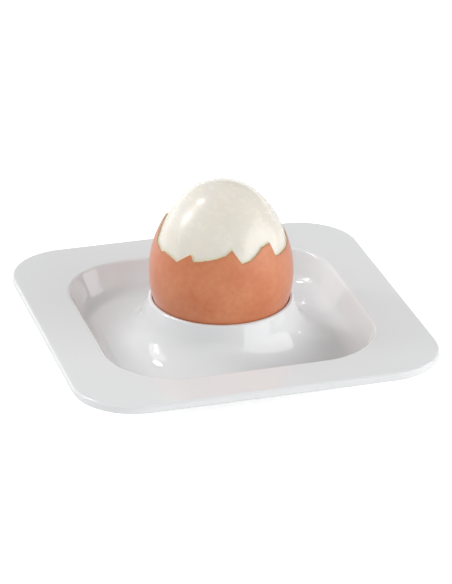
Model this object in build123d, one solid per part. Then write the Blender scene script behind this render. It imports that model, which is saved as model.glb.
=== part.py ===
from build123d import *

import os
from math import copysign, cos, radians, sin, sqrt, tan

# Egg holder tray: a square moulded tray with a sunken well and an egg cup that rises
# from the middle of it, holding a boiled egg with its cap already broken off.
# Millimetres, +Z up, origin on the table under the centre of the cup.

# Tray rim
tray_side = 115.0
tray_corner = 19.2
rim_width = 14.45
rim_wall = 2.7
rim_edge_round = 0.8

# Well between the rim and the cup
well_corner = 23.0
well_depth = 10.0
well_draft = 25.0
well_foot_round = 6.5
well_mouth_round = 0.9
pan_wall = 2.4
pan_neck_round = 1.5

# Cup: lip, flared outside, bowl inside
lip_rise = 4.95
lip_wall = 1.14
lip_outer_round = 0.75
lip_inner_round = 0.3
flare_draft = 17.0
flare_radius = 14.0
flare_wall = 2.6
bowl_wall = 2.2
core_tip_drop = 3.8

# Foot ring under the cup, set in from where the flare meets the floor
foot_inset = 8.4
foot_width = 2.6
foot_round = 0.5

# Egg: an ellipse below its widest circle, and above it an ellipse drawn in towards the tip
egg_width = 45.06
egg_blunt_length = 26.0
egg_tip_length = 29.6
egg_tip_draw = 0.112
egg_over_lip = 8.45
seat_clearance = 0.15
bowl_relief = 1.2
bowl_clear = 0.5

# Layers of the egg
shell_thickness = 0.34
membrane_thickness = 0.10
layer_gap = 0.02
membrane_show = 0.35
air_cell_depth = 2.5
yolk_diameter = 31.8
yolk_rise = 1.2
yolk_gap = 0.05

# The shell's broken edge: corners as degrees round the egg and height over its widest circle
BREAK = (
    (2, 12.4), (9, 14.6), (14, 12.0), (25, 11.0), (37, 11.9), (48, 13.2), (54, 15.3),
    (58, 13.0), (66, 10.6), (79, 11.5), (91, 13.1), (98, 14.9), (102, 12.1), (113, 10.7),
    (125, 12.0), (136, 13.7), (145, 16.4), (153, 18.2), (159, 17.4), (168, 14.9),
    (175, 11.9), (185, 11.2), (192, 10.5), (194, 11.2), (204, 10.9), (213, 9.9),
    (222, 12.4), (226, 13.1), (229, 11.2), (239, 11.9), (251, 12.9), (258, 13.7),
    (264, 15.2), (268, 13.1), (272, 11.0), (279, 11.4), (285, 12.4), (294, 14.4),
    (305, 14.8), (307, 10.6), (312, 10.2), (321, 10.4), (332, 10.5), (342, 11.2), (352, 11.3),
)

# Heights, stacked up from the table through the bowl and the egg
egg_bottom = bowl_clear + bowl_wall + bowl_relief
egg_widest = egg_bottom + egg_blunt_length
lip_top = egg_widest - egg_over_lip
lip_edge = lip_top - lip_outer_round
rim_top = lip_top - lip_rise
core_tip_z = rim_top - core_tip_drop
floor_top = rim_top - well_depth

# Radii, worked out from the egg through the bowl, the lip and the flare
bowl_radius = egg_width / 2 + seat_clearance
bowl_depth = egg_blunt_length + bowl_relief
lip_radius = bowl_radius * sqrt(1 - (egg_over_lip / bowl_depth) ** 2) + lip_wall
flare_centre_z = floor_top + flare_radius
flare_start_z = flare_centre_z - flare_radius * sin(radians(flare_draft))
flare_start_r = lip_radius + (lip_edge - flare_start_z) * tan(radians(flare_draft))
flare_centre_r = flare_start_r + flare_radius * cos(radians(flare_draft))
foot_radius = flare_centre_r - foot_inset

well_side = tray_side - 2 * rim_width
membrane_inset = shell_thickness + layer_gap
white_inset = membrane_inset + membrane_thickness + layer_gap


def rounded_square(side, corner, height):
    """A square with round corners, lying flat at a height."""
    return Pos(0, 0, height) * RectangleRounded(side, side, corner)


def edges_at(shape, height, reach):
    """Edges of a shape that lie flat at a height and stay inside a half width."""
    low, high = height - 0.01, height + 0.01
    flat = shape.edges().filter_by_position(Axis.Z, low, high)
    return flat.filter_by(lambda e: e.bounding_box().max.X < reach and e.bounding_box().min.X > -reach)


def spun(*edges):
    """A solid of revolution about Z from edges drawn as (radius, height)."""
    return revolve(Plane.XZ * make_face(edges), axis=Axis.Z)


def flare_height(radius, wall):
    """Height of the flare's arc at a radius, on its upper face or a wall's thickness under it."""
    return flare_centre_z - sqrt((flare_radius + wall) ** 2 - (flare_centre_r - radius) ** 2)


def well_plug(wall):
    """The well's hollow, or with a wall added its outside, from the rim's plane down."""
    grow = 2 * wall / cos(radians(well_draft))
    mouth = rounded_square(well_side + grow, well_corner + grow / 2, rim_top)
    plug = extrude(mouth, amount=well_depth + wall, dir=(0, 0, -1), taper=well_draft)
    foot = edges_at(plug, floor_top - wall, well_side)
    return fillet(foot, well_foot_round + wall)


def pan():
    """Rim plate and sunken well, before the cup is added."""
    plate = extrude(rounded_square(tray_side, tray_corner, rim_top - rim_wall), amount=rim_wall)
    rims = edges_at(plate, rim_top, tray_side) + edges_at(plate, rim_top - rim_wall, tray_side)
    plate = fillet(rims, rim_edge_round)
    outside = plate + well_plug(pan_wall)
    neck = edges_at(outside, rim_top - rim_wall, well_side / 2 + 2 * pan_wall)
    outside = fillet(neck, pan_neck_round)
    hollowed = outside - well_plug(0)
    mouth = edges_at(hollowed, rim_top, well_side / 2 + 0.1)
    return fillet(mouth, well_mouth_round)


def cup_outside():
    """The cup as a full solid: rounded lip edge, drafted side and the flare down to the floor."""
    base = floor_top - pan_wall / 2
    round_start = (lip_radius, lip_edge)
    round_end = (lip_radius - lip_outer_round, lip_top)
    side_end = (flare_start_r, flare_start_z)
    flare_end = (flare_centre_r, floor_top)
    return spun(
        Line((0, base), (0, lip_top)),
        Line((0, lip_top), round_end),
        RadiusArc(round_end, round_start, lip_outer_round),
        Line(round_start, side_end),
        TangentArc(side_end, flare_end, tangent=(sin(radians(flare_draft)), -cos(radians(flare_draft)))),
        Line(flare_end, (flare_centre_r, base)),
        Line((flare_centre_r, base), (0, base)),
    )


def under_flare():
    """The hollow that the mould's core leaves under the flare, open downwards."""
    reach = flare_radius + flare_wall
    tip_r = flare_centre_r - sqrt(reach**2 - (flare_centre_z - core_tip_z) ** 2)
    tip = (tip_r, core_tip_z)
    end_z = flare_centre_z - reach
    end = (flare_centre_r, end_z)
    mid_r = (tip_r + flare_centre_r) / 2
    middle = (mid_r, flare_height(mid_r, flare_wall))
    return spun(
        Line((0, 0), (0, core_tip_z)),
        Line((0, core_tip_z), tip),
        ThreePointArc(tip, middle, end),
        Line(end, (flare_centre_r, 0)),
        Line((flare_centre_r, 0), (0, 0)),
    )


def egg_quarter(radius, length, draw):
    """A quarter outline from the widest circle to a pole: an ellipse, drawn in towards the pole."""
    steps = 10
    turns = [radians(90 * k / steps) for k in range(steps)]
    points = [
        (radius * cos(a) * (1 - draw * sin(a) ** 2), egg_widest + length * sin(a)) for a in turns
    ]
    pole = (0, egg_widest + length)
    return Spline(*points, pole, tangents=[(0, copysign(1, length)), (-1, 0)])


def bowl_plug(wall, top):
    """The bowl's hollow, or with a wall added its outside, up to a height."""
    radius, depth = bowl_radius + wall, bowl_depth + wall
    bottom = (0, egg_widest - depth)
    quarter = egg_quarter(radius, -depth, 0)
    whole = spun(quarter, Line((radius, egg_widest), (0, egg_widest)), Line((0, egg_widest), bottom))
    above = Pos(0, 0, top) * Cylinder(
        2 * radius, depth, align=(Align.CENTER, Align.CENTER, Align.MIN)
    )
    return whole - above


def foot_ring():
    """The ring that the tray stands on, run up into the middle of the flare's wall."""
    inner = foot_radius - foot_width
    tops = [
        (r, (flare_height(r, 0) + flare_height(r, flare_wall)) / 2) for r in (inner, foot_radius)
    ]
    ring = spun(
        Line((inner, 0), tops[0]),
        Line(tops[0], tops[1]),
        Line(tops[1], (foot_radius, 0)),
        Line((foot_radius, 0), (inner, 0)),
    )
    return fillet(edges_at(ring, 0, tray_side), foot_round)


def tray():
    """The one-piece moulding: rim, well, cup and foot ring."""
    over_rim = extrude(rounded_square(well_side, well_corner, rim_top), amount=lip_rise)
    cup = cup_outside() & (well_plug(pan_wall) + over_rim)
    body = pan() + cup - under_flare()
    body += bowl_plug(bowl_wall, core_tip_z + bowl_wall)
    body -= bowl_plug(0, lip_top + lip_inner_round)
    lip_inside = edges_at(body, lip_top, lip_radius - lip_outer_round - 0.01)
    body = fillet(lip_inside, lip_inner_round)
    return body + foot_ring()


def egg_solid(inset):
    """The egg's shape, drawn in by an inset."""
    radius = egg_width / 2 - inset
    blunt = egg_blunt_length - inset
    tip = egg_tip_length - inset
    return spun(
        egg_quarter(radius, -blunt, 0),
        egg_quarter(radius, tip, egg_tip_draw),
        Line((0, egg_widest + tip), (0, egg_widest - blunt)),
    )


def broken_off(raise_by):
    """What lies over the broken edge: a polyhedron whose underside fans out to the edge's corners."""
    reach = egg_width
    roof = egg_widest + 2 * egg_tip_length
    centre_z = egg_widest + sum(height for _, height in BREAK) / len(BREAK) + raise_by
    hub = Vector(0, 0, centre_z)
    radius = egg_width / 2
    low, high = [], []
    for degrees, height in BREAK:
        across = radius * sqrt(1 - (height / egg_tip_length) ** 2)
        out = Vector(cos(radians(degrees)), sin(radians(degrees)), 0)
        corner = out * across + Vector(0, 0, egg_widest + height + raise_by)
        low.append(hub + (corner - hub) * (reach / across))
        high.append(out * reach + Vector(0, 0, roof))
    faces = [Face(Wire(Polyline(*high, close=True)))]
    for k in range(len(BREAK)):
        m = (k + 1) % len(BREAK)
        faces.append(Face(Wire(Polyline(hub, low[k], low[m], close=True))))
        faces.append(Face(Wire(Polyline(low[k], low[m], high[m], close=True))))
        faces.append(Face(Wire(Polyline(low[k], high[m], high[k], close=True))))
    return Solid(Shell(faces))


def egg_layer(inset, thickness, raise_by):
    """A thin layer of the egg, open at the top along the broken edge."""
    return egg_solid(inset) - egg_solid(inset + thickness) - broken_off(raise_by)


def egg_shell():
    """The brown shell, broken open above its widest circle."""
    return egg_layer(0, shell_thickness, 0)


def shell_membrane():
    """The skin that lines the shell and shows a little over its broken edge."""
    return egg_layer(membrane_inset, membrane_thickness, membrane_show)


def yolk_ball(grow):
    """The yolk's shape, or with a gap added the hollow that it sets in."""
    return Pos(0, 0, egg_widest + yolk_rise) * Sphere(yolk_diameter / 2 + grow)


def egg_white():
    """The set white, peeled at the top and flat over the air cell at the blunt end."""
    white = egg_solid(white_inset) - yolk_ball(yolk_gap)
    cell = Pos(0, 0, egg_bottom + white_inset + air_cell_depth) * Box(
        egg_width, egg_width, egg_blunt_length, align=(Align.CENTER, Align.CENTER, Align.MAX)
    )
    return white - cell


def egg_yolk():
    """The set yolk inside the white."""
    return yolk_ball(0)


def main():
    """Writes one STEP file for each piece."""
    os.makedirs("parts", exist_ok=True)
    for piece in (tray, egg_shell, shell_membrane, egg_white, egg_yolk):
        export_step(piece(), f"parts/{piece.__name__}.step")


main()
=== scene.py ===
"""Egg holder tray with a boiled egg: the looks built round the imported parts.

A square melamine tray has a sunken well and an egg cup in its middle. A brown egg stands
in the cup with the top of its shell broken off. Metres throughout, in the parts' frame.
"""

from math import asin, cos, pi, radians, sin, sqrt, tan

import bpy
import numpy as np
from bpy.props import (
    FloatProperty,
    FloatVectorProperty,
    IntProperty,
    PointerProperty,
)
from bpy.types import Operator, Panel, PropertyGroup
from mathutils import Matrix, Vector, noise
from mathutils.bvhtree import BVHTree


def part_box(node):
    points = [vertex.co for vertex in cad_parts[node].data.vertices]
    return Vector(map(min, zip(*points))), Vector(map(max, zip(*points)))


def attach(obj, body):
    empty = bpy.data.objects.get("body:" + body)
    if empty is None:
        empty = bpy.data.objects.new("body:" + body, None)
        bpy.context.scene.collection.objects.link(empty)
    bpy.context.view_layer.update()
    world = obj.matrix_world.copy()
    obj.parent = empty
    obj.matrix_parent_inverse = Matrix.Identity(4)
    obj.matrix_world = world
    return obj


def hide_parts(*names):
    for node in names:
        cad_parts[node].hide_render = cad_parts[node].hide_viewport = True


bl_info = {
    "name": "Egg holder tray",
    "version": (1, 0, 0),
    "blender": (4, 5, 0),
    "location": "3D View > Sidebar > Egg tray",
    "description": "Builds a moulded egg holder tray, its boiled egg and a small stage",
    "category": "Add Mesh",
}

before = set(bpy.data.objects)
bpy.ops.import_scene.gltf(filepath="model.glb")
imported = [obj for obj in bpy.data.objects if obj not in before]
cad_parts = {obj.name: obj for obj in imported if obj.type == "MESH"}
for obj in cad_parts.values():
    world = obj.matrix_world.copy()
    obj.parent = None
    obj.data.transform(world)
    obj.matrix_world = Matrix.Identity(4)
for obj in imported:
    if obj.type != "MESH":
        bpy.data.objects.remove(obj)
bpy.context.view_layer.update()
TRAY_LOW, TRAY_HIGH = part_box("tray")
SHELL_LOW, SHELL_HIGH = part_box("egg_shell")
YOLK_LOW, YOLK_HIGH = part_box("egg_yolk")
MM = 0.001

# Directions from the tray as (azimuth, elevation) in degrees
FULLER_SIDE = (-17, 0)  # where the peeled tip is proudest
BRIGHT_SIDE = (150, 30)  # where the room is brightest
BACKDROP = (78, 0)  # the middle of the white backdrop


# Sizes and colours ------------------------------------------------------------------


def length(name, description, default):
    """A length that a user can change, in metres."""
    return FloatProperty(
        name=name, description=description, default=default, min=0.0, precision=5,
        unit="LENGTH", subtype="DISTANCE",
    )


def angle(name, description, degrees):
    """An angle that a user can change."""
    return FloatProperty(
        name=name, description=description, default=radians(degrees), unit="ROTATION",
        subtype="ANGLE",
    )


def share(name, description, default):
    """A plain factor that a user can change."""
    return FloatProperty(name=name, description=description, default=default, precision=4)


def count(name, description, default):
    """A whole number that a user can change."""
    return IntProperty(name=name, description=description, default=default, min=8)


def colour(name, description, default):
    """A colour that a user can change, in linear light."""
    return FloatVectorProperty(
        name=name, description=description, default=default, subtype="COLOR", min=0, max=1
    )


class TraySettings(PropertyGroup):
    """Sizes and finish of the moulded tray."""

    columns: count("Columns", "Faces round the tray", 336)
    corner: length("Corner", "Radius of the tray's outer corners", 19.2 * MM)
    rim_width: length("Rim width", "From the tray's edge to the well's mouth", 14.45 * MM)
    rim_wall: length("Rim thickness", "Thickness of the flat rim", 2.7 * MM)
    rim_round: length("Rim edge round", "Rounding of the rim's outer edges", 0.8 * MM)
    well_corner: length("Well corner", "Radius of the well's corners at its mouth", 23 * MM)
    well_depth: length("Well depth", "From the rim down to the well's floor", 10 * MM)
    well_draft: angle("Well draft", "Lean of the well's walls", 25)
    well_foot: length("Well foot round", "Rounding between wall and floor", 6.5 * MM)
    well_mouth: length("Well mouth round", "Rounding where the wall meets the rim", 1.1 * MM)
    pan_wall: length("Well wall", "Thickness of the well's walls and floor", 2.4 * MM)
    neck: length("Neck round", "Rounding under the rim where the well's wall starts", 1.5 * MM)
    lip_rise: length("Lip rise", "Height of the cup's lip over the rim", 4.95 * MM)
    lip_wall: length("Lip width", "Thickness of the cup's lip", 1.14 * MM)
    lip_outer: length("Lip outer round", "Rounding outside the lip", 0.75 * MM)
    lip_inner: length("Lip inner round", "Rounding inside the lip", 0.3 * MM)
    flare_draft: angle("Flare draft", "Lean of the cup's side under its lip", 17)
    flare_radius: length("Flare radius", "Sweep from the cup's side to the floor", 14 * MM)
    flare_wall: length("Flare wall", "Thickness of the flare", 2.6 * MM)
    bowl_wall: length("Bowl wall", "Thickness of the bowl under the egg", 2.2 * MM)
    bowl_clear: length("Bowl clearance", "Gap between the bowl and the table", 0.5 * MM)
    core_drop: length("Core drop", "From the rim down to the top of the hollow below", 3.8 * MM)
    foot_inset: length("Foot inset", "From the end of the flare in to the foot ring", 8.4 * MM)
    foot_width: length("Foot width", "Width of the foot ring", 2.6 * MM)
    foot_round: length("Foot round", "Rounding of the foot ring's edges", 0.5 * MM)
    melamine: colour("Melamine", "Colour of the moulding", (0.794, 0.805, 0.812))


class EggSettings(PropertyGroup):
    """Sizes and finish of the boiled egg."""

    columns: count("Columns", "Faces round the egg", 600)
    over_lip: length("Over lip", "From the cup's lip up to the widest circle", 8.45 * MM)
    seat_clearance: length("Seat clearance", "Gap between egg and bowl", 0.15 * MM)
    bowl_relief: length("Bowl relief", "Extra depth of the bowl under the egg", 1.2 * MM)
    tip_length: length("Tip length", "From the widest circle to the tip", 29.6 * MM)
    tip_draw: share("Tip draw", "How far the tip is drawn in", 0.112)
    shell: length("Shell thickness", "Thickness of the shell", 0.34 * MM)
    lining: length("Lining thickness", "Thickness of the skin inside the shell", 0.10 * MM)
    layer_gap: length("Layer gap", "Gap between two layers", 0.02 * MM)
    air_cell: length("Air cell", "Depth of the flat at the blunt end", 2.5 * MM)
    swell: length("Swell", "How far the peeled tip stands proud of its layer", 0.39 * MM)
    blunting: length("Blunting", "How much fuller the shoulder of the peeled tip is", 0.42 * MM)
    lean: length("Lean", "How much prouder the peeled tip is on its fuller side", 0.22 * MM)
    yolk_gap: length("Yolk gap", "Gap round the yolk", 0.05 * MM)
    chip: length("Chip size", "Depth of the small chips along the broken edge", 0.16 * MM)
    shell_brown: colour("Shell", "Main colour of the shell", (0.59, 0.168, 0.059))
    shell_pale: colour("Shell bloom", "Paler patches on the shell", (0.70, 0.268, 0.118))
    shell_broken: colour("Broken shell", "Colour of the broken edge", (0.75, 0.55, 0.38))
    lining_cream: colour("Lining", "Colour of the lining skin", (0.80, 0.70, 0.50))
    set_white: colour("Egg white", "Colour of the set white", (0.83, 0.79, 0.71))
    set_yolk: colour("Yolk", "Colour of the set yolk", (0.85, 0.50, 0.08))


class StageSettings(PropertyGroup):
    """Camera, lamps and floor."""

    azimuth: angle("Camera azimuth", "Turn of the camera round the tray", -16.594)
    elevation: angle("Camera elevation", "Height of the camera as an angle", 25.426)
    roll: angle("Camera roll", "Tilt of the camera about its line of sight", 0.303)
    distance: length("Camera distance", "From the camera to the point it looks at", 0.9881)
    lens: share("Lens", "Focal length in millimetres on a 36 mm sensor", 192.64)
    aim_side: length("Aim to the right", "Where the camera looks, from the cup", 5.0 * MM)
    aim_back: length("Aim to the back", "Where the camera looks, from the cup", 11.18 * MM)
    room: share("Room light", "Strength of the even light from all round", 0.27)
    bright_side: share("Bright side", "Extra light of the room at the back left", 0.66)
    lamp: share("Lamp", "Radiance of the small round lamp at the back left", 46.0)
    strip: share("Strip", "Radiance of the short upright light below the lamp", 19.0)
    glow: share("Glow", "Radiance of the wide soft reflection round lamp and strip", 2.6)
    backdrop: share("Backdrop", "Extra light of the white backdrop, low behind the tray", 2.6)
    panel: share("Panel", "Radiance of the low panel behind the tray's left corner", 2.8)
    window: share("Window", "Radiance of the window at the front right", 2.6)
    fill: share("Fill", "Radiance of the weak fill light in front", 0.64)
    table_white: share("Table white", "How far the table's shadows are lifted", 0.64)
    table_bounce: share("Table bounce", "Light that the table throws back up", 0.13)


# Mesh helpers -----------------------------------------------------------------------


def turns_of(columns):
    """Directions round the middle, evenly spaced."""
    return np.arange(columns) * (2 * pi / columns)


def direction(azimuth, elevation):
    """Unit vector from the tray, with azimuth counted from +X towards +Y, in degrees."""
    a, e = radians(azimuth), radians(elevation)
    return Vector((cos(a) * cos(e), sin(a) * cos(e), sin(e)))


def eased(steps):
    """Steps between 0 and 1, without the ends, closer together near both ends."""
    return [0.5 - 0.5 * cos(pi * k / steps) for k in range(1, steps)]


def arc(centre, radius, start, end, steps):
    """Points on an arc, given as a centre (across, height) and angles in degrees."""
    angles = [radians(start + (end - start) * k / steps) for k in range(steps + 1)]
    return [(centre[0] + radius * cos(a), centre[1] + radius * sin(a)) for a in angles]


def between(first, last, steps):
    """Points on a straight line between two points, without its ends."""
    return [
        tuple(a + (b - a) * share_of for a, b in zip(first, last)) for share_of in eased(steps)
    ]


def square_reach(turns, half, corner):
    """Distance from the middle to the outline of a square with round corners."""
    across, along = np.abs(np.cos(turns)), np.abs(np.sin(turns))
    flat = half - corner
    longer, shorter = np.maximum(across, along), np.minimum(across, along)
    middle = flat * (across + along)
    on_corner = middle + np.sqrt(np.maximum(middle**2 - 2 * flat**2 + corner**2, 0))
    return np.where(shorter * half <= flat * longer, half / longer, on_corner)


def square_inset(turns, reach, half, corner):
    """How far inside the outline of a square with round corners a point is."""
    flat = half - corner
    x = np.abs(reach * np.cos(turns)) - flat
    y = np.abs(reach * np.sin(turns)) - flat
    outside = np.hypot(np.maximum(x, 0), np.maximum(y, 0)) + np.minimum(np.maximum(x, y), 0)
    return corner - outside


def leaning_wall(inset, height, draft, foot):
    """Height over the floor of a wall that leans in and ends in a round foot."""
    run = height * tan(draft)
    tangent = foot * tan((pi / 2 - draft) / 2)
    straight = height - inset / tan(draft)
    sunk = np.clip(run + tangent - inset, 0, foot)
    curved = foot - np.sqrt(foot**2 - sunk**2)
    return np.where(inset < run - tangent * sin(draft), straight, curved)


def softened(first, second):
    """The higher of two heights over a floor, with a soft valley where they meet."""
    power = 2.4
    return (np.maximum(first, 0) ** power + np.maximum(second, 0) ** power) ** (1 / power)


def skin(name, turns, rings, start, end):
    """A closed mesh through rings of (reach, height), from one pole's height to the other's."""
    columns = len(turns)
    flat = np.array([np.broadcast_arrays(reach, height, turns)[:2] for reach, height in rings])
    reach, height = flat[:, 0], flat[:, 1]
    points = np.stack([reach * np.cos(turns), reach * np.sin(turns), height], -1)
    points = np.concatenate([points.reshape(-1, 3), [(0, 0, start), (0, 0, end)]])
    near = np.arange(columns)
    far = np.roll(near, -1)
    rows = np.arange(len(rings) - 1)[:, None] * columns
    quads = np.stack(
        [rows + near, rows + far, rows + columns + far, rows + columns + near], -1
    ).reshape(-1, 4)
    first, last = len(points) - 2, len(points) - 1
    top = (len(rings) - 1) * columns
    faces = quads.tolist()
    faces += [(first, int(b), int(a)) for a, b in zip(near, far)]
    faces += [(last, int(top + a), int(top + b)) for a, b in zip(near, far)]
    mesh = bpy.data.meshes.new(name)
    mesh.from_pydata(points.tolist(), [], faces)
    mesh.validate()
    mesh.shade_smooth()
    return mesh


def spun_attribute(mesh, name, values):
    """Stores one number for each point of a skin; its two poles get nothing."""
    data = mesh.attributes.new(name, "FLOAT", "POINT").data
    data.foreach_set("value", np.concatenate([values.ravel(), [0, 0]]).astype(np.float32))


def piece(name, mesh, finish, body, slot, *nodes):
    """Puts a finished mesh into the scene as a piece that stands for its CAD nodes."""
    made = bpy.data.objects.new(name, mesh)
    bpy.context.scene.collection.objects.link(made)
    mesh.materials.clear()
    mesh.materials.append(finish)
    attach(made, body)
    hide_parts(*nodes)
    return made


# Node helpers -----------------------------------------------------------------------


class Value:
    """A number in a node tree. Arithmetic on it adds Math nodes."""

    def __init__(self, nodes, socket):
        self.nodes, self.socket = nodes, socket

    def math(self, operation, *others):
        """A Math node on this value and others."""
        inputs = {k: other for k, other in enumerate((self, *others))}
        return self.nodes.add("ShaderNodeMath", {"operation": operation}, inputs)

    def __add__(self, other):
        return self.math("ADD", other)

    def __sub__(self, other):
        return self.math("SUBTRACT", other)

    def __rsub__(self, other):
        return self * -1 + other

    def __mul__(self, other):
        return self.math("MULTIPLY", other)

    def __truediv__(self, other):
        return self.math("DIVIDE", other)

    def __rtruediv__(self, other):
        return self.nodes.add("ShaderNodeMath", {"operation": "DIVIDE"}, {0: other, 1: self})

    __radd__ = __add__
    __rmul__ = __mul__

    def within(self, low, high):
        """0 below a level, 1 over another, with a soft step between them."""
        return self.nodes.add(
            "ShaderNodeMapRange",
            {"interpolation_type": "SMOOTHSTEP"},
            {"Value": self, "From Min": low, "From Max": high},
        )


class Nodes:
    """Adds nodes to one tree."""

    def __init__(self, tree):
        self.tree = tree

    def add(self, kind, settings=None, inputs=None, output=0):
        """Adds a node: its settings first, then the values or links of its sockets."""
        node = self.tree.nodes.new(kind)
        for key, value in (settings or {}).items():
            setattr(node, key, value)
        for key, value in (inputs or {}).items():
            if isinstance(value, Value):
                self.tree.links.new(value.socket, node.inputs[key])
            elif value is not None:
                node.inputs[key].default_value = value
        return Value(self, node.outputs[output]) if len(node.outputs) else node

    def noise(self, place, size, detail=2.0, seed=0.0):
        """Noise whose patches are about a size across."""
        return self.add(
            "ShaderNodeTexNoise",
            {"noise_dimensions": "4D"},
            {"Vector": place, "W": seed, "Scale": 1 / size, "Detail": detail},
        )

    def axes(self, vector):
        """The three parts of a vector."""
        split = self.add("ShaderNodeSeparateXYZ", {}, {0: vector}).socket.node
        return [Value(self, part) for part in split.outputs]

    def dot(self, vector, fixed):
        """How far a vector goes along a fixed one."""
        return self.add(
            "ShaderNodeVectorMath", {"operation": "DOT_PRODUCT"}, {0: vector, 1: fixed}, "Value"
        )

    def along(self, vector, reach):
        """A vector made longer or shorter."""
        return self.add(
            "ShaderNodeVectorMath", {"operation": "SCALE"}, {0: vector, "Scale": reach}
        )

    def blend(self, factor, first, second):
        """A colour between two colours."""
        first, second = (
            (*c, 1) if isinstance(c, tuple) and len(c) == 3 else c for c in (first, second)
        )
        return self.add(
            "ShaderNodeMix", {"data_type": "RGBA"}, {0: factor, 6: first, 7: second}, 2
        )


class Finish(Nodes):
    """A material for one of this object's surfaces."""

    def __init__(self, name, **constants):
        self.material = bpy.data.materials.new(name)
        self.material.use_nodes = True
        super().__init__(self.material.node_tree)
        self.tree.nodes.clear()
        self.place = self.add("ShaderNodeTexCoord", output=3)
        self.shader = self.tree.nodes.new("ShaderNodeBsdfPrincipled")
        output = self.tree.nodes.new("ShaderNodeOutputMaterial")
        self.tree.links.new(self.shader.outputs[0], output.inputs["Surface"])
        for key, value in constants.items():
            self.shader.inputs[key.replace("_", " ")].default_value = value

    def attribute(self, name):
        """A number stored on the mesh."""
        return self.add(
            "ShaderNodeAttribute", {"attribute_type": "GEOMETRY", "attribute_name": name},
            output=2,
        )

    def feed(self, **links):
        """Links values to the shader."""
        for key, value in links.items():
            self.tree.links.new(value.socket, self.shader.inputs[key.replace("_", " ")])
        return self.material

    def relief(self, height, depth):
        """A bumped normal from a height between 0 and 1 and its depth."""
        return self.add(
            "ShaderNodeBump", {}, {"Strength": 1.0, "Distance": depth, "Height": height}
        )


def shade(colours, by=1.0):
    """A colour setting as a plain tuple, darker or paler by a factor."""
    return tuple(min(c * by, 1) for c in colours)


# Finishes ---------------------------------------------------------------------------


def melamine_finish(tray):
    """White glossy melamine: a slight orange peel, faint rubbed patches and a scuffed foot."""
    f = Finish("white_melamine_gloss", IOR=1.5)
    peel = f.noise(f.place, 2.6 * MM, 2.0, 1.0)
    cloud = f.noise(f.place, 24 * MM, 3.0, 2.0)
    rubbed = f.noise(f.place, 7 * MM, 5.0, 3.0).within(0.52, 0.72)
    scratch_place = f.add(
        "ShaderNodeMapping", {"vector_type": "POINT"},
        {"Vector": f.place, "Rotation": (0.0, 0.0, 0.7), "Scale": (1.0, 34.0, 1.0)},
    )
    scratch = f.noise(scratch_place, 9 * MM, 3.0, 4.0).within(0.66, 0.74)
    scuffed = 1 - f.axes(f.place)[2].within(0.1 * MM, 0.9 * MM)
    base = f.blend(cloud, shade(tray.melamine, 0.985), shade(tray.melamine, 1.012))
    base = f.blend(scuffed * 0.5, base, shade(tray.melamine, 0.8))
    rough = (cloud - 0.5) * 0.04 + rubbed * 0.035 + scratch * 0.05 + scuffed * 0.3 + 0.055
    relief = peel * 0.8 + scratch * -0.15
    return f.feed(Base_Color=base, Roughness=rough, Normal=f.relief(relief, 0.0012 * MM))


def shell_finish(egg):
    """Brown eggshell: cloudy tint, fine speckles, pores, a pale broken edge and a band of painted
    shade just under it.
    """
    f = Finish(
        "brown_eggshell", IOR=1.45, Specular_IOR_Level=0.75, Sheen_Weight=0.5, Sheen_Roughness=0.4
    )
    f.shader.inputs["Sheen Tint"].default_value = (0.78, 0.84, 0.96, 1)
    cloud = f.noise(f.place, 11 * MM, 3.0, 11.0)
    mottle = f.noise(f.place, 1.7 * MM, 4.0, 12.0)
    freckle = f.noise(f.place, 0.9 * MM, 2.0, 13.0).within(0.66, 0.76)
    pore = f.add(
        "ShaderNodeTexVoronoi", {"feature": "F1"}, {"Vector": f.place, "Scale": 1 / (0.55 * MM)}
    ).within(0.04, 0.26)
    tint = cloud.within(0.25, 0.78) * 0.6 + mottle.within(0.3, 0.75) * 0.35
    base = f.blend(tint, shade(egg.shell_brown), shade(egg.shell_pale))
    base = f.blend(freckle * 0.35, base, shade(egg.shell_brown, 0.62))
    base = f.blend((1 - pore) * 0.22, base, shade(egg.shell_brown, 0.7))
    # Painted shade: a darker band just under the broken edge
    base = f.blend(f.attribute("shade_under_break") * 0.45, base, shade(egg.shell_brown, 0.6))
    base = f.blend(f.attribute("broken"), base, shade(egg.shell_broken))
    rough = (mottle - 0.5) * 0.16 + f.attribute("broken") * 0.3 + 0.46
    relief = mottle * 0.7 + pore * 0.5
    return f.feed(Base_Color=base, Roughness=rough, Normal=f.relief(relief, 0.035 * MM))


def lining_finish(egg):
    """The lining skin: thin, cream, a little see-through at its torn edge."""
    f = Finish(
        "shell_lining_skin", IOR=1.42, Subsurface_Weight=0.35, Subsurface_Scale=0.6 * MM
    )
    fibre = f.noise(f.place, 0.5 * MM, 5.0, 21.0)
    base = f.blend(fibre, shade(egg.lining_cream), shade(egg.lining_cream, 1.15))
    rough = fibre * 0.2 + 0.4
    return f.feed(Base_Color=base, Roughness=rough, Normal=f.relief(fibre, 0.03 * MM))


def white_finish(egg):
    """Set egg white: ivory, moist, softly lit from inside."""
    f = Finish(
        "set_egg_white", IOR=1.38, Subsurface_Weight=0.45, Subsurface_Scale=2.6 * MM,
        Specular_IOR_Level=0.85,
    )
    f.shader.inputs["Subsurface Radius"].default_value = (1.0, 0.72, 0.48)
    cloud = f.noise(f.place, 9 * MM, 3.0, 31.0)
    film = f.noise(f.place, 2.2 * MM, 4.0, 32.0)
    base = f.blend(cloud.within(0.3, 0.75), shade(egg.set_white), shade(egg.set_white, 0.955))
    rough = film.within(0.35, 0.7) * 0.08 + 0.22
    relief = cloud * 0.9 + film * 0.2
    return f.feed(Base_Color=base, Roughness=rough, Normal=f.relief(relief, 0.07 * MM))


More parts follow.
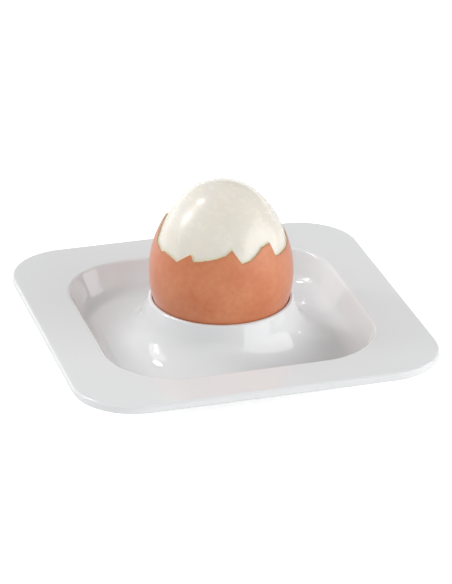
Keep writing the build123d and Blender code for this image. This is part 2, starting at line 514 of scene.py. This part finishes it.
def yolk_finish(egg):
    """Set yolk: crumbly and matt, paler in patches."""
    f = Finish("set_yolk_crumb", IOR=1.4, Subsurface_Weight=0.2, Subsurface_Scale=1.5 * MM)
    crumb = f.noise(f.place, 1.1 * MM, 5.0, 41.0)
    cloud = f.noise(f.place, 7 * MM, 2.0, 42.0)
    base = f.blend(cloud, shade(egg.set_yolk), shade(egg.set_yolk, 0.82))
    base = f.blend(crumb.within(0.5, 0.8) * 0.4, base, (0.93, 0.68, 0.25))
    return f.feed(Base_Color=base, Roughness=crumb * 0.2 + 0.6, Normal=f.relief(crumb, 0.2 * MM))


def table_finish(name, glow):
    """Plain white that gives off a little light and is clear when looked at from below."""
    f = Finish(name, Roughness=0.9)
    grain = f.noise(f.place, 30 * MM, 3.0, 51.0)
    base = f.blend(grain, (0.80, 0.80, 0.80), (0.83, 0.83, 0.83))
    f.shader.inputs["Emission Strength"].default_value = glow
    f.shader.inputs["Emission Color"].default_value = (1, 1, 1, 1)
    below = f.add("ShaderNodeNewGeometry").socket.node.outputs["Backfacing"]
    clear = f.add("ShaderNodeBsdfTransparent")
    white = Value(f, f.shader.outputs[0])
    both = f.add("ShaderNodeMixShader", {}, {0: Value(f, below), 1: white, 2: clear})
    f.tree.links.new(both.socket, f.tree.nodes["Material Output"].inputs["Surface"])
    return f.feed(Base_Color=base)


# The tray ---------------------------------------------------------------------------


def tray_rings(tray, egg):
    """Rings of (reach, height) from under the bowl, round the rim and into the bowl."""
    turns = turns_of(tray.columns)
    half = (TRAY_HIGH.x - TRAY_LOW.x) / 2
    lip_top = TRAY_HIGH.z
    rim_top = lip_top - tray.lip_rise
    floor = rim_top - tray.well_depth
    widest = lip_top + egg.over_lip
    egg_radius = (SHELL_HIGH.x - SHELL_LOW.x) / 2
    bowl_radius = egg_radius + egg.seat_clearance
    bowl_depth = widest - SHELL_LOW.z + egg.bowl_relief
    lip_radius = bowl_radius * sqrt(1 - (egg.over_lip / bowl_depth) ** 2) + tray.lip_wall
    lip_edge = lip_top - tray.lip_outer
    sweep_z = floor + tray.flare_radius
    side_z = sweep_z - tray.flare_radius * sin(tray.flare_draft)
    side_r = lip_radius + (lip_edge - side_z) * tan(tray.flare_draft)
    sweep_r = side_r + tray.flare_radius * cos(tray.flare_draft)
    mouth = half - tray.rim_width
    draft = tray.well_draft

    def sweep(reach, wall):
        radius = tray.flare_radius + wall
        across = np.maximum(sweep_r - reach, 0)
        return sweep_z - np.sqrt(np.maximum(radius**2 - across**2, 0))

    def spun(points):
        return [(np.full(len(turns), r), np.full(len(turns), z)) for r, z in points]

    def squares(outer, corner, points):
        """Rings set in from a square outline, given as (inset, height)."""
        return [
            (square_reach(turns, outer - inset, corner - inset), np.full(len(turns), z))
            for inset, z in points
        ]

    def stretch(first, last, steps):
        """Flat rings between two rings."""
        return [
            (first[0] + (last[0] - first[0]) * w, first[1] + (last[1] - first[1]) * w)
            for w in eased(steps)
        ]

    def bowl(wall, top, steps):
        """The bowl's curve from near its pole up to a height."""
        radius, depth = bowl_radius + wall, bowl_depth + wall
        end = np.arccos((widest - top) / depth)
        return [
            (radius * sin(end * k / steps), widest - depth * cos(end * k / steps))
            for k in range(1, steps + 1)
        ]

    rings = []
    # Under the bowl, across the core's tip and down to the foot ring
    core_z = rim_top - tray.core_drop
    reach_r = tray.flare_radius + tray.flare_wall
    core_r = sweep_r - sqrt(reach_r**2 - (sweep_z - core_z) ** 2)
    under = bowl(tray.bowl_wall, core_z, 22)
    rings += spun(under + between(under[-1], (core_r, core_z), 5) + [(core_r, core_z)])
    foot_r = sweep_r - tray.foot_inset
    inner = foot_r - tray.foot_width
    hollow = [core_r + (inner - core_r) * k / 6 for k in range(1, 7)]
    rings += spun([(r, float(sweep(r, tray.flare_wall))) for r in hollow])
    soft = tray.foot_round
    foot = arc((inner + soft, soft), soft, 180, 270, 5)
    foot += between(foot[-1], (foot_r - soft, 0), 4)
    foot += arc((foot_r - soft, soft), soft, 270, 360, 5)
    top = (foot_r, float(sweep(foot_r, tray.flare_wall)))
    rings += spun(between((inner, float(sweep(inner, tray.flare_wall))), foot[0], 4) + foot)
    rings += spun(between(foot[-1], top, 4) + [top])

    # Underneath, from the foot ring out to the neck below the rim
    grow = tray.pan_wall / cos(draft)
    outer, outer_corner = mouth + grow, tray.well_corner + grow
    run = tray.rim_wall * tan(draft)
    neck_turn = tray.neck * tan((pi / 2 - draft) / 2)
    under_rim = rim_top - tray.rim_wall
    neck = arc((run - neck_turn, under_rim - tray.neck), tray.neck, 25, 90, 6)
    edge = square_reach(turns, outer - neck[0][0], outer_corner - neck[0][0])
    base = floor - tray.pan_wall
    for k in range(1, 40):
        reach = foot_r + (edge - foot_r) * k / 40
        inset = square_inset(turns, reach, outer, outer_corner)
        wall = leaning_wall(inset, rim_top - base, draft, tray.well_foot + tray.pan_wall)
        rings.append((reach, base + softened(wall, sweep(reach, tray.flare_wall) - base)))
    rings += squares(outer, outer_corner, neck)

    # The rim: its underside, its round edges and its flat top
    r = tray.rim_round
    lower = arc((r, under_rim + r), r, 270, 180, 6)
    upper = arc((r, rim_top - r), r, 180, 90, 8)
    edge_rings = squares(half, tray.corner, lower + between(lower[-1], upper[0], 4) + upper)
    rings += stretch(rings[-1], edge_rings[0], 7) + edge_rings
    turn = tray.well_mouth * tan((pi / 2 - draft) / 2)
    mouth_arc = arc((-turn, rim_top - tray.well_mouth), tray.well_mouth, 90, 25, 8)
    mouth_rings = squares(mouth, tray.well_corner, mouth_arc)
    rings += stretch(rings[-1], mouth_rings[0], 13) + mouth_rings

    # The well: down its wall, over its floor and up the flare of the cup
    edge = mouth_rings[-1][0]
    for k in range(1, 61):
        reach = edge + (side_r - edge) * k / 60
        inset = square_inset(turns, reach, mouth, tray.well_corner)
        wall = leaning_wall(inset, tray.well_depth, draft, tray.well_foot)
        rings.append((reach, floor + softened(wall, sweep(reach, 0) - floor)))

    # The cup's side and lip, then down into the bowl
    lip = arc((lip_radius - tray.lip_outer, lip_edge), tray.lip_outer, 0, 90, 10)
    level = sqrt(bowl_depth**2 - egg.over_lip**2)
    lean = np.arctan2(bowl_radius * egg.over_lip, bowl_depth * level)
    inside = lip_radius - tray.lip_wall
    lip_turn = tray.lip_inner * tan((pi / 2 - lean) / 2)
    inner_lip = arc(
        (inside + lip_turn, lip_top - tray.lip_inner), tray.lip_inner, 90,
        180 - np.degrees(lean), 6,
    )
    rings += spun(between((side_r, side_z), lip[0], 7) + lip + between(lip[-1], inner_lip[0], 3))
    rings += spun(inner_lip + bowl(0, inner_lip[-1][1], 34)[-2::-1])
    return turns, rings, tray.bowl_clear, widest - bowl_depth


class EGGTRAY_OT_tray(Operator):
    """Mould the tray: rim, well, cup and foot ring in one skin"""

    bl_idname = "eggtray.tray"
    bl_label = "Moulded tray"

    def execute(self, context):
        tray, egg = context.scene.eggtray_tray, context.scene.eggtray_egg
        turns, rings, low_pole, bowl_pole = tray_rings(tray, egg)
        mesh = skin("melamine_tray", turns, rings, low_pole, bowl_pole)
        piece("melamine_tray", mesh, melamine_finish(tray), "tray", "white_melamine", "tray")
        return {"FINISHED"}


# The egg ----------------------------------------------------------------------------


def egg_curve(egg, inset, latitude):
    """(reach, height) of the egg at a latitude, drawn in by an inset."""
    widest = TRAY_HIGH.z + egg.over_lip
    radius = (SHELL_HIGH.x - SHELL_LOW.x) / 2 - inset
    blunt = widest - SHELL_LOW.z - inset
    tip = egg.tip_length - inset
    rise = np.sin(latitude)
    draw = np.where(rise > 0, 1 - egg.tip_draw * rise**2, 1)
    return radius * np.cos(latitude) * draw, widest + np.where(rise > 0, tip, blunt) * rise


def edge_heights(node, turns, egg, inset):
    """Height of a layer's broken edge in each direction, felt out on its CAD node."""
    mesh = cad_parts[node].data
    tree = BVHTree.FromPolygons(
        [v.co for v in mesh.vertices], [p.vertices for p in mesh.polygons]
    )
    widest, tip = TRAY_HIGH.z + egg.over_lip, egg.tip_length - inset
    # A feeler starts outside the layer and goes a little past its outer face
    outside, past = 4 * MM, 0.3 * MM
    found = []
    for turn in turns:
        out = Vector((cos(turn), sin(turn), 0))
        # There is always shell below the first height and never above the second
        low, high = widest + 6 * MM, SHELL_HIGH.z + 1 * MM
        for _ in range(12):
            level = (low + high) / 2
            reach, _height = egg_curve(egg, inset, asin((level - widest) / tip))
            start = out * (float(reach) + outside) + Vector((0, 0, level))
            hit = tree.ray_cast(start, -out, outside + past)
            low, high = (level, high) if hit[0] is not None else (low, level)
        found.append((low + high) / 2)
    return np.array(found)


def ragged(turns, size, depth, seed):
    """Small uneven steps round an edge, the same on every run."""
    across = (SHELL_HIGH.x - SHELL_LOW.x) / 2 / size
    values = []
    for turn in turns:
        place = Vector((cos(turn) * across, sin(turn) * across, seed))
        coarse, fine = noise.noise(place), noise.noise(place * 2.7)
        values.append(coarse + 0.5 * fine - 0.8 * max(noise.noise(place * 0.55) - 0.25, 0))
    return depth * np.array(values)


def layer_mesh(name, egg, turns, top, inset, thickness):
    """A thin layer of the egg up to a broken edge, closed over the edge's thickness."""
    widest = TRAY_HIGH.z + egg.over_lip
    stops = list(np.linspace(0.012, 0.93, 58)) + [0.955, 0.975, 0.987, 0.994, 1.0]
    rings, near, broken = [], [], []

    def add(depth, stop, at_edge):
        """A ring at a share of the way from the pole to the edge."""
        last = np.arcsin((top - widest) / (egg.tip_length - inset))
        latitude = -pi / 2 + (last + pi / 2) * stop
        reach, height = egg_curve(egg, depth, latitude)
        rings.append((reach, height))
        # How close a ring is to the broken edge: the strength of the painted shade in a thin band
        # just under it
        near.append(np.exp(-(top - height) / (0.35 * MM)))
        broken.append(np.full(len(turns), at_edge))

    for stop in stops:
        add(inset, stop, 0.15 if stop == 1.0 else 0.0)
    add(inset + thickness * 0.3, 1.0008, 1.0)
    add(inset + thickness * 0.75, 1.0004, 1.0)
    for stop in stops[::-1]:
        add(inset + thickness, stop, 0.6 if stop == 1.0 else 0.0)
    low = SHELL_LOW.z + inset
    mesh = skin(name, turns, rings, low, low + thickness)
    spun_attribute(mesh, "shade_under_break", np.array(near))
    spun_attribute(mesh, "broken", np.array(broken))
    return mesh


class EGGTRAY_OT_shell(Operator):
    """Grow the brown shell up to its broken edge"""

    bl_idname = "eggtray.shell"
    bl_label = "Brown shell"

    def execute(self, context):
        egg = context.scene.eggtray_egg
        turns = turns_of(egg.columns)
        top = edge_heights("egg_shell", turns, egg, 0)
        top = top + ragged(turns, 0.9 * MM, egg.chip, 3.0)
        mesh = layer_mesh("brown_shell", egg, turns, top, 0, egg.shell)
        piece("brown_shell", mesh, shell_finish(egg), "egg", "brown_eggshell", "egg_shell")
        return {"FINISHED"}


class EGGTRAY_OT_lining(Operator):
    """Lay the thin skin that lines the shell and shows over its edge"""

    bl_idname = "eggtray.lining"
    bl_label = "Lining skin"

    def execute(self, context):
        egg = context.scene.eggtray_egg
        turns = turns_of(egg.columns)
        inset = egg.shell + egg.layer_gap
        top = edge_heights("shell_membrane", turns, egg, inset)
        top = top + ragged(turns, 1.5 * MM, 1.4 * egg.chip, 8.0)
        mesh = layer_mesh("lining_skin", egg, turns, top, inset, egg.lining)
        piece("lining_skin", mesh, lining_finish(egg), "egg", "pale_membrane", "shell_membrane")
        return {"FINISHED"}


def node_group(name, sizes):
    """An empty geometry tree with named inputs, and those inputs as values."""
    tree = bpy.data.node_groups.new(name, "GeometryNodeTree")
    tree.interface.new_socket("Geometry", in_out="OUTPUT", socket_type="NodeSocketGeometry")
    for label, default in sizes.items():
        kind = "NodeSocketInt" if isinstance(default, int) else "NodeSocketFloat"
        socket = tree.interface.new_socket(label, in_out="INPUT", socket_type=kind)
        socket.default_value = default
    nodes = Nodes(tree)
    given = tree.nodes.new("NodeGroupInput")
    return nodes, {label: Value(nodes, given.outputs[label]) for label in sizes}


def grown(name, nodes, geometry, finish, sizes):
    """Ends a geometry tree, runs it once with these sizes and returns the plain mesh."""
    real = nodes.add("GeometryNodeRealizeInstances", {}, {0: geometry})
    painted = nodes.add("GeometryNodeSetMaterial", {}, {0: real, "Material": finish})
    output = nodes.tree.nodes.new("NodeGroupOutput")
    nodes.tree.links.new(painted.socket, output.inputs[0])
    holder = bpy.data.objects.new(name, bpy.data.meshes.new(name))
    bpy.context.scene.collection.objects.link(holder)
    modifier = holder.modifiers.new(name, "NODES")
    modifier.node_group = nodes.tree
    for item in nodes.tree.interface.items_tree:
        if item.in_out == "INPUT":
            modifier[item.identifier] = sizes[item.name]
    depsgraph = bpy.context.evaluated_depsgraph_get()
    mesh = bpy.data.meshes.new_from_object(
        holder.evaluated_get(depsgraph), preserve_all_data_layers=True, depsgraph=depsgraph
    )
    holder.modifiers.clear()
    bpy.data.objects.remove(holder)
    mesh.name = name
    return mesh


class EGGTRAY_OT_white(Operator):
    """Grow the set white: peeled at the tip, flat over the air cell, hollow for the yolk"""

    bl_idname = "eggtray.white"
    bl_label = "Set white"

    def execute(self, context):
        egg = context.scene.eggtray_egg
        inset = egg.shell + egg.lining + 2 * egg.layer_gap
        widest = TRAY_HIGH.z + egg.over_lip
        sizes = {
            "Segments": 256,
            "Rings": 160,
            "Radius": (SHELL_HIGH.x - SHELL_LOW.x) / 2 - inset,
            "Blunt Length": widest - SHELL_LOW.z - inset,
            "Tip Length": egg.tip_length - inset,
            "Tip Draw": egg.tip_draw,
            "Widest Height": widest,
            "Swell": egg.swell,
            "Swell Start": 0.25 * MM,
            "Swell End": 5.5 * MM,
            "Lean": egg.lean,
            "Blunting": egg.blunting,
            "Flat Height": SHELL_LOW.z + inset + egg.air_cell,
            "Yolk Radius": (YOLK_HIGH.x - YOLK_LOW.x) / 2 + egg.yolk_gap,
            "Yolk Height": (YOLK_HIGH.z + YOLK_LOW.z) / 2,
            "Dent Size": 6 * MM,
            "Dent Depth": 0.16 * MM,
        }
        nodes, given = node_group("set_white_shape", sizes)
        ball = nodes.add(
            "GeometryNodeMeshUVSphere", {},
            {"Segments": given["Segments"], "Rings": given["Rings"], "Radius": 1.0},
        )
        place = nodes.add("GeometryNodeInputPosition")
        x, y, z = nodes.axes(place)
        upper, lower = z.math("MAXIMUM", 0.0), z.math("MINIMUM", 0.0)
        drawn = given["Radius"] * (1 - given["Tip Draw"] * upper * upper)
        height = upper * given["Tip Length"] + lower * given["Blunt Length"]
        flat = (height + given["Widest Height"]).math("MAXIMUM", given["Flat Height"])
        settled = nodes.add("ShaderNodeCombineXYZ", {}, {0: x * drawn, 1: y * drawn, 2: flat})
        outside = nodes.add("GeometryNodeSetPosition", {}, {0: ball, "Position": settled})
        lining = nodes.add(
            "GeometryNodeObjectInfo", {"transform_space": "ORIGINAL"},
            {0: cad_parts["shell_membrane"]}, "Geometry",
        )
        away = nodes.add(
            "GeometryNodeProximity", {"target_element": "FACES"}, {0: lining}, "Distance"
        )
        risen = away.within(given["Swell Start"], given["Swell End"])
        above = (z - given["Widest Height"]) / given["Tip Length"]
        dents = nodes.noise(settled, given["Dent Size"], 2.0, 5.0)
        normal = nodes.add("GeometryNodeInputNormal")
        fuller = nodes.dot(normal, direction(*FULLER_SIDE))
        shoulder = above.within(0.55, 0.90) * (1 - above.within(0.90, 1.0) * 0.9)
        swell = given["Swell"] + fuller * given["Lean"] + shoulder * given["Blunting"]
        push = ((dents - 0.55) * given["Dent Depth"] + swell) * risen * above.within(0.0, 0.2)
        offset = nodes.along(normal, push)
        dented = nodes.add("GeometryNodeSetPosition", {}, {0: outside, "Offset": offset})
        hollow = nodes.add(
            "GeometryNodeMeshUVSphere", {},
            {"Segments": 96, "Rings": 64, "Radius": given["Yolk Radius"]},
        )
        turned = nodes.add("GeometryNodeFlipFaces", {}, {0: hollow})
        centre = nodes.add("ShaderNodeCombineXYZ", {}, {2: given["Yolk Height"]})
        set_in = nodes.add("GeometryNodeSetPosition", {}, {0: turned, "Offset": centre})
        join = nodes.tree.nodes.new("GeometryNodeJoinGeometry")
        for part in (set_in, dented):
            nodes.tree.links.new(part.socket, join.inputs[0])
        joined = Value(nodes, join.outputs[0])
        smooth = nodes.add("GeometryNodeSetShadeSmooth", {}, {0: joined, "Shade Smooth": True})
        finish = white_finish(egg)
        mesh = grown("set_white", nodes, smooth, finish, sizes)
        piece("set_white", mesh, finish, "egg", "set_egg_white", "egg_white")
        return {"FINISHED"}


class EGGTRAY_OT_yolk(Operator):
    """Grow the set yolk, slightly lumpy, inside the white"""

    bl_idname = "eggtray.yolk"
    bl_label = "Set yolk"

    def execute(self, context):
        egg = context.scene.eggtray_egg
        sizes = {
            "Radius": (YOLK_HIGH.x - YOLK_LOW.x) / 2,
            "Height": (YOLK_HIGH.z + YOLK_LOW.z) / 2,
            "Lump Size": 5 * MM,
            "Lump Depth": 0.5 * MM,
        }
        nodes, given = node_group("set_yolk_shape", sizes)
        ball = nodes.add(
            "GeometryNodeMeshUVSphere", {},
            {"Segments": 128, "Rings": 80, "Radius": given["Radius"]},
        )
        place = nodes.add("GeometryNodeInputPosition")
        lumps = nodes.noise(place, given["Lump Size"], 4.0, 7.0)
        normal = nodes.add("GeometryNodeInputNormal")
        offset = nodes.along(normal, (lumps - 1.0) * given["Lump Depth"])
        lumpy = nodes.add("GeometryNodeSetPosition", {}, {0: ball, "Offset": offset})
        centre = nodes.add("ShaderNodeCombineXYZ", {}, {2: given["Height"]})
        set_in = nodes.add("GeometryNodeSetPosition", {}, {0: lumpy, "Offset": centre})
        smooth = nodes.add("GeometryNodeSetShadeSmooth", {}, {0: set_in, "Shade Smooth": True})
        finish = yolk_finish(egg)
        mesh = grown("set_yolk", nodes, smooth, finish, sizes)
        piece("set_yolk", mesh, finish, "egg", "set_yolk", "egg_yolk")
        return {"FINISHED"}


# The stage --------------------------------------------------------------------------


def table(name, height, glow):
    """A wide flat table top at a height."""
    mesh = bpy.data.meshes.new(name)
    reach = 4.0
    corners = [
        (x * reach, y * reach, height) for x, y in ((-1, -1), (1, -1), (1, 1), (-1, 1))
    ]
    mesh.from_pydata(corners, [], [(0, 1, 2, 3)])
    mesh.materials.append(table_finish(name, glow))
    made = bpy.data.objects.new(name, mesh)
    bpy.context.scene.collection.objects.link(made)
    return made


def lamp(name, radiance, azimuth, elevation, distance, width, height=0):
    """An area lamp that faces the tray, as bright as its radiance says."""
    data = bpy.data.lights.new(name, "AREA")
    data.shape = "RECTANGLE" if height else "DISK"
    data.size, data.size_y = width, height or width
    area = width * height if height else pi * (width / 2) ** 2
    data.energy = radiance * area * pi
    made = bpy.data.objects.new(name, data)
    bpy.context.scene.collection.objects.link(made)
    towards = direction(azimuth, elevation)
    made.location = towards * distance + Vector((0, 0, 20 * MM))
    made.rotation_euler = towards.to_track_quat("Z", "Y").to_euler()
    return made


class EGGTRAY_OT_stage(Operator):
    """Set the table, the lamps and the camera"""

    bl_idname = "eggtray.stage"
    bl_label = "Stage"

    def execute(self, context):
        scene = context.scene
        stage, tray = scene.eggtray_stage, scene.eggtray_tray
        # The camera sees one table top; the light that comes back up is from the other
        seen = table("table_top", -0.02 * MM, stage.table_white)
        seen.visible_diffuse = seen.visible_glossy = False
        unseen = table("table_bounce", -0.03 * MM, stage.table_bounce)
        unseen.visible_camera = False

        world = bpy.data.worlds.new("even_room")
        world.use_nodes = True
        room = Nodes(world.node_tree)
        towards = room.add("ShaderNodeTexCoord", output=0)
        bright = room.dot(towards, direction(*BRIGHT_SIDE)).within(0.1, 1.0)
        behind = room.dot(towards, direction(*BACKDROP)).within(0.4, 0.9)
        low = 1 - room.axes(towards)[2].within(0.02, 0.14)
        level = bright * stage.bright_side + stage.room + low * behind * stage.backdrop
        background = world.node_tree.nodes["Background"]
        background.inputs["Color"].default_value = (1, 1, 1, 1)
        room.tree.links.new(level.socket, background.inputs["Strength"])
        scene.world = world

        # Each lamp: radiance, azimuth, elevation, distance, width, and height unless round
        lamp("small_round_lamp", stage.lamp, 137, 52, 1.60, 0.21)
        lamp("upright_strip", stage.strip, 154, 31, 1.60, 0.12, 0.40)
        glow = lamp("soft_glow", stage.glow, 152, 36, 1.60, 0.50, 0.80)
        glow.visible_diffuse = False
        panel = lamp("low_panel", stage.panel, 120, 9, 1.40, 0.55, 0.55)
        panel.visible_glossy = False
        lamp("front_fill", stage.fill, -105, 25, 1.50, 1.40, 0.80)
        lamp("front_right_window", stage.window, -35, 18, 1.00, 1.53, 0.63)

        data = bpy.data.cameras.new("viewpoint")
        data.sensor_width, data.lens = 36, stage.lens
        data.clip_start, data.clip_end = 0.05, 30
        camera = bpy.data.objects.new("viewpoint", data)
        scene.collection.objects.link(camera)
        a, e, turn = stage.azimuth, stage.elevation, stage.roll
        back = Vector((sin(a) * cos(e), -cos(a) * cos(e), sin(e)))
        right = Vector((cos(a), sin(a), 0))
        up = back.cross(right)
        right, up = right * cos(turn) + up * sin(turn), up * cos(turn) - right * sin(turn)
        aim = Vector((stage.aim_side, stage.aim_back, TRAY_HIGH.z - tray.lip_rise))
        turned = Matrix((right, up, back)).transposed().to_4x4()
        camera.matrix_world = Matrix.Translation(aim + back * stage.distance) @ turned
        scene.camera = camera
        scene.view_settings.view_transform = "Standard"
        return {"FINISHED"}


# Panel and start --------------------------------------------------------------------


STEPS = (
    EGGTRAY_OT_stage,
    EGGTRAY_OT_tray,
    EGGTRAY_OT_shell,
    EGGTRAY_OT_lining,
    EGGTRAY_OT_white,
    EGGTRAY_OT_yolk,
)


class EGGTRAY_PT_panel(Panel):
    """Lists the steps and their sizes"""

    bl_idname = "EGGTRAY_PT_panel"
    bl_label = "Egg tray"
    bl_space_type = "VIEW_3D"
    bl_region_type = "UI"
    bl_category = "Egg tray"

    def draw(self, context):
        for step in STEPS:
            self.layout.operator(step.bl_idname)
        for group in ("eggtray_tray", "eggtray_egg", "eggtray_stage"):
            box = self.layout.box()
            settings = getattr(context.scene, group)
            for name in settings.__annotations__:
                box.prop(settings, name)


CLASSES = (TraySettings, EggSettings, StageSettings, *STEPS, EGGTRAY_PT_panel)


def register():
    """Registers the classes and hangs their settings on the scene."""
    for made in CLASSES:
        bpy.utils.register_class(made)
    bpy.types.Scene.eggtray_tray = PointerProperty(type=TraySettings)
    bpy.types.Scene.eggtray_egg = PointerProperty(type=EggSettings)
    bpy.types.Scene.eggtray_stage = PointerProperty(type=StageSettings)


def unregister():
    """Takes the settings and the classes away again."""
    for group in ("eggtray_stage", "eggtray_egg", "eggtray_tray"):
        delattr(bpy.types.Scene, group)
    for made in reversed(CLASSES):
        bpy.utils.unregister_class(made)


def main():
    """Builds everything in order."""
    register()
    for step in STEPS:
        group, name = step.bl_idname.split(".")
        getattr(getattr(bpy.ops, group), name)()


if __name__ == "__main__":
    main()
